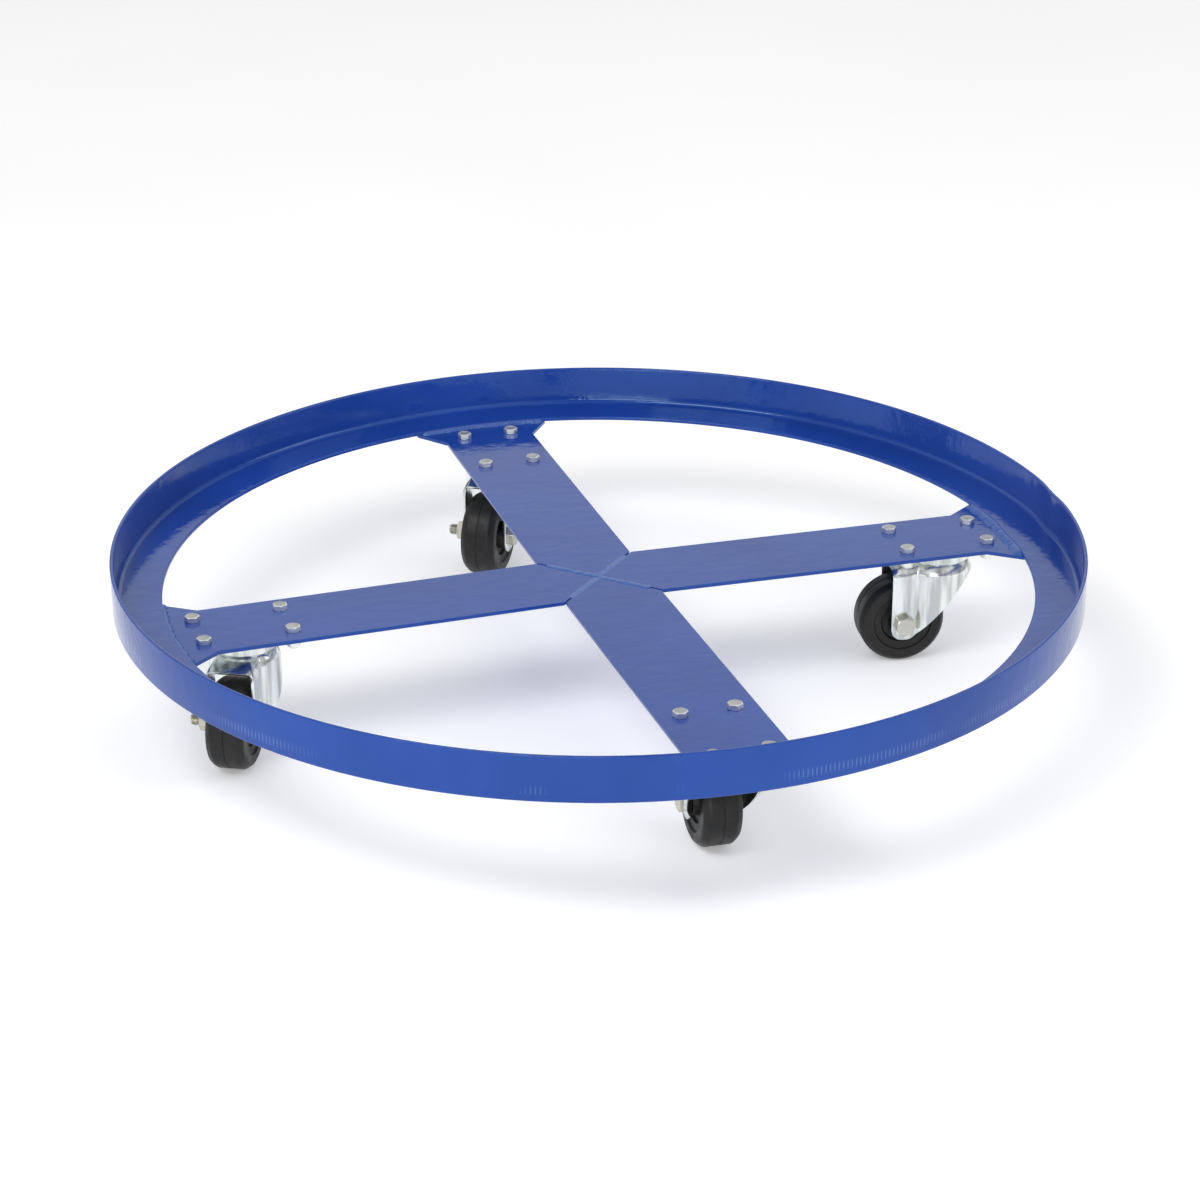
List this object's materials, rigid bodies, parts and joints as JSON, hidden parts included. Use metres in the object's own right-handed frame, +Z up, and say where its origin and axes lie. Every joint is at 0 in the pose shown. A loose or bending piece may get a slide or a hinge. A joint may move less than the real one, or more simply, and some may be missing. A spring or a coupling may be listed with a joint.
{
  "type": "drum dolly",
  "caption": "Low round dolly for a large drum: a rolled angle ring on a welded cross of flat arms, with bolted swivel casters under the arm ends.",
  "frame": {"origin": "on the floor, under the centre of the ring", "axes": "+Z up, out of the drum seat; +X along one arm, +Y along the next arm"},
  "size_m": [0.8078, 0.8079, 0.1472],
  "materials": {
    "blue_paint": "gloss royal blue enamel with a slight orange peel",
    "zinc_plate": "bright zinc plated pressed steel",
    "zinc_fastener": "bright zinc plated, slightly yellow",
    "plain_steel": "machined and greased",
    "bearing_steel": "polished",
    "black_rubber": "moulded hard rubber, satin"
  },
  "bodies": {
    "frame": {"ring": "blue_paint", "ring_seam_weld": "blue_paint", "arm_1": "blue_paint", "arm_2": "blue_paint", "arm_3": "blue_paint", "arm_4": "blue_paint", "arm_end_welds": "blue_paint", "centre_welds": "blue_paint", "mounting_bolts_1": "zinc_fastener", "mounting_nuts_1": "zinc_fastener", "top_plate_1": "zinc_plate", "kingpin_1": "plain_steel", "thrust_race_1": "plain_steel", "mounting_bolts_2": "zinc_fastener", "mounting_nuts_2": "zinc_fastener", "top_plate_2": "zinc_plate", "kingpin_2": "plain_steel", "thrust_race_2": "plain_steel", "mounting_bolts_3": "zinc_fastener", "mounting_nuts_3": "zinc_fastener", "top_plate_3": "zinc_plate", "kingpin_3": "plain_steel", "thrust_race_3": "plain_steel", "mounting_bolts_4": "zinc_fastener", "mounting_nuts_4": "zinc_fastener", "top_plate_4": "zinc_plate", "kingpin_4": "plain_steel", "thrust_race_4": "plain_steel"},
    "swivel_1": {"fork_1": "zinc_plate", "axle_sleeve_1": "plain_steel", "axle_bolt_1": "zinc_fastener", "axle_nut_1": "zinc_fastener"},
    "ball_set_1": {"load_balls_1": "bearing_steel", "thrust_balls_1": "bearing_steel"},
    "roller_1": {"wheel_1": "black_rubber"},
    "swivel_2": {"fork_2": "zinc_plate", "axle_sleeve_2": "plain_steel", "axle_bolt_2": "zinc_fastener", "axle_nut_2": "zinc_fastener"},
    "ball_set_2": {"load_balls_2": "bearing_steel", "thrust_balls_2": "bearing_steel"},
    "roller_2": {"wheel_2": "black_rubber"},
    "swivel_3": {"fork_3": "zinc_plate", "axle_sleeve_3": "plain_steel", "axle_bolt_3": "zinc_fastener", "axle_nut_3": "zinc_fastener"},
    "ball_set_3": {"load_balls_3": "bearing_steel", "thrust_balls_3": "bearing_steel"},
    "roller_3": {"wheel_3": "black_rubber"},
    "swivel_4": {"fork_4": "zinc_plate", "axle_sleeve_4": "plain_steel", "axle_bolt_4": "zinc_fastener", "axle_nut_4": "zinc_fastener"},
    "ball_set_4": {"load_balls_4": "bearing_steel", "thrust_balls_4": "bearing_steel"},
    "roller_4": {"wheel_4": "black_rubber"}
  },
  "joints": [
    {"name": "swivel_turn_1", "type": "hinge", "parent": "frame", "child": "swivel_1", "pos_m": [0.30428, -0.0085, 0.094], "axis": [0, 0, 1], "continuous": true},
    {"name": "ball_roll_1", "type": "hinge", "parent": "frame", "child": "ball_set_1", "pos_m": [0.30428, -0.0085, 0.094], "axis": [0, 0, 1], "continuous": true},
    {"name": "wheel_spin_1", "type": "hinge", "parent": "swivel_1", "child": "roller_1", "pos_m": [0.27258, -0.00416, 0.0375], "axis": [-0.1357, -0.9907, 0], "continuous": true},
    {"name": "swivel_turn_2", "type": "hinge", "parent": "frame", "child": "swivel_2", "pos_m": [0, 0.3044, 0.094], "axis": [0, 0, 1], "continuous": true},
    {"name": "ball_roll_2", "type": "hinge", "parent": "frame", "child": "ball_set_2", "pos_m": [0, 0.3044, 0.094], "axis": [0, 0, 1], "continuous": true},
    {"name": "wheel_spin_2", "type": "hinge", "parent": "swivel_2", "child": "roller_2", "pos_m": [-0.01808, 0.278, 0.0375], "axis": [0.8251, -0.565, 0], "continuous": true},
    {"name": "swivel_turn_3", "type": "hinge", "parent": "frame", "child": "swivel_3", "pos_m": [-0.30434, -0.00584, 0.094], "axis": [0, 0, 1], "continuous": true},
    {"name": "ball_roll_3", "type": "hinge", "parent": "frame", "child": "ball_set_3", "pos_m": [-0.30434, -0.00584, 0.094], "axis": [0, 0, 1], "continuous": true},
    {"name": "wheel_spin_3", "type": "hinge", "parent": "swivel_3", "child": "roller_3", "pos_m": [-0.31922, -0.03418, 0.0375], "axis": [0.8854, -0.4648, 0], "continuous": true},
    {"name": "swivel_turn_4", "type": "hinge", "parent": "frame", "child": "swivel_4", "pos_m": [0.00266, -0.30439, 0.094], "axis": [0, 0, 1], "continuous": true},
    {"name": "ball_roll_4", "type": "hinge", "parent": "frame", "child": "ball_set_4", "pos_m": [0.00266, -0.30439, 0.094], "axis": [0, 0, 1], "continuous": true},
    {"name": "wheel_spin_4", "type": "hinge", "parent": "swivel_4", "child": "roller_4", "pos_m": [0.00422, -0.27243, 0.0375], "axis": [-0.9988, 0.0489, 0], "continuous": true}
  ],
  "couplings": [
    {"joint": "ball_roll_1", "follows": "swivel_turn_1", "ratio": 0.5},
    {"joint": "ball_roll_2", "follows": "swivel_turn_2", "ratio": 0.5},
    {"joint": "ball_roll_3", "follows": "swivel_turn_3", "ratio": 0.5},
    {"joint": "ball_roll_4", "follows": "swivel_turn_4", "ratio": 0.5}
  ]
}
